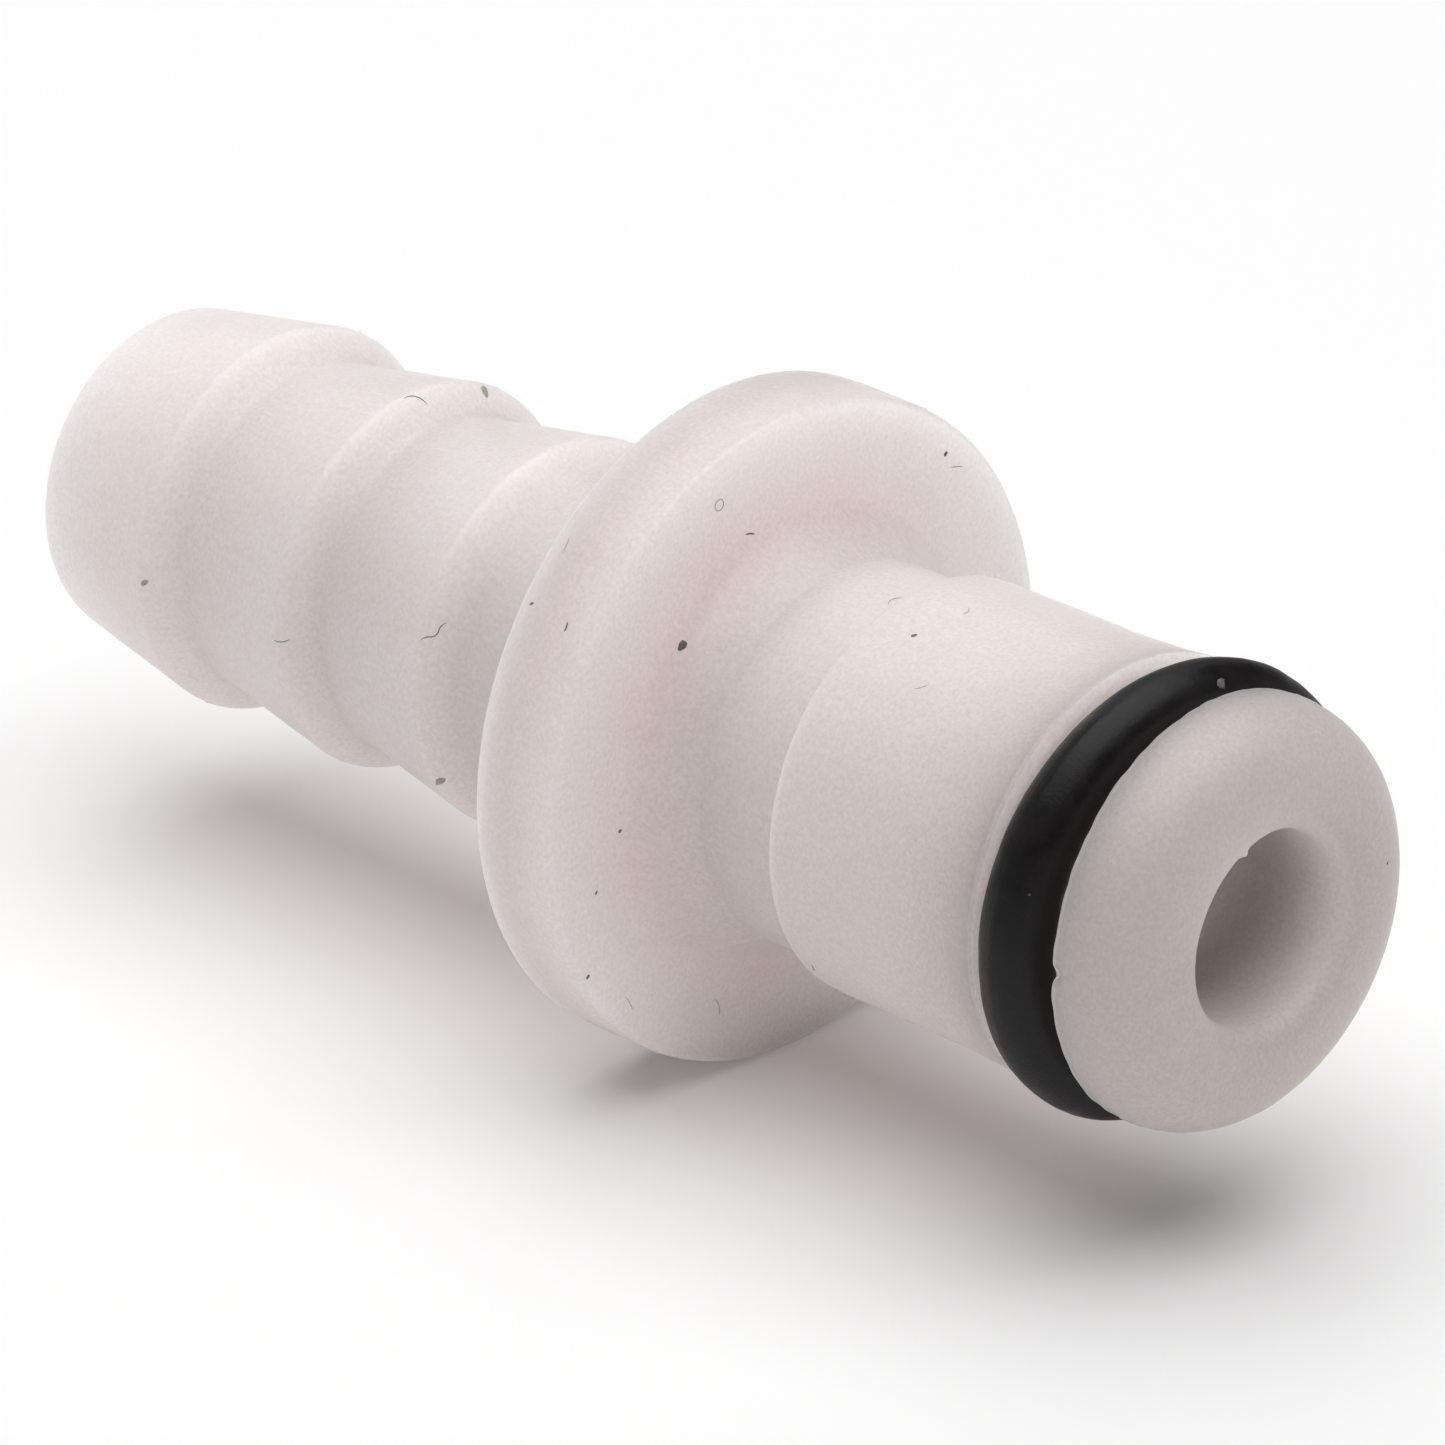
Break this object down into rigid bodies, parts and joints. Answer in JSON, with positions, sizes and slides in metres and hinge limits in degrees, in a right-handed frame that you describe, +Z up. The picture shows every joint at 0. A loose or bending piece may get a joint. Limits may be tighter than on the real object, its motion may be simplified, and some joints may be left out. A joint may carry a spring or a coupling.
{
  "type": "hose coupling insert",
  "caption": "Straight-through quick-disconnect insert: hose barb, round flange, latch groove and sealed plug with an O-ring on a one-piece plastic body with a through bore.",
  "frame": {"origin": "on the flow axis, in the plane of the flange's front face", "axes": "+X along the flow axis from the hose barb towards the nose of the plug, +Z up"},
  "size_m": [0.0392, 0.0172, 0.0172],
  "materials": {
    "body_plastic": "natural milky moulded plastic, satin, slightly translucent",
    "seal_rubber": "black moulded rubber, satin"
  },
  "bodies": {
    "root": {"insert_body": "body_plastic", "o_ring": "seal_rubber"}
  },
  "joints": []
}
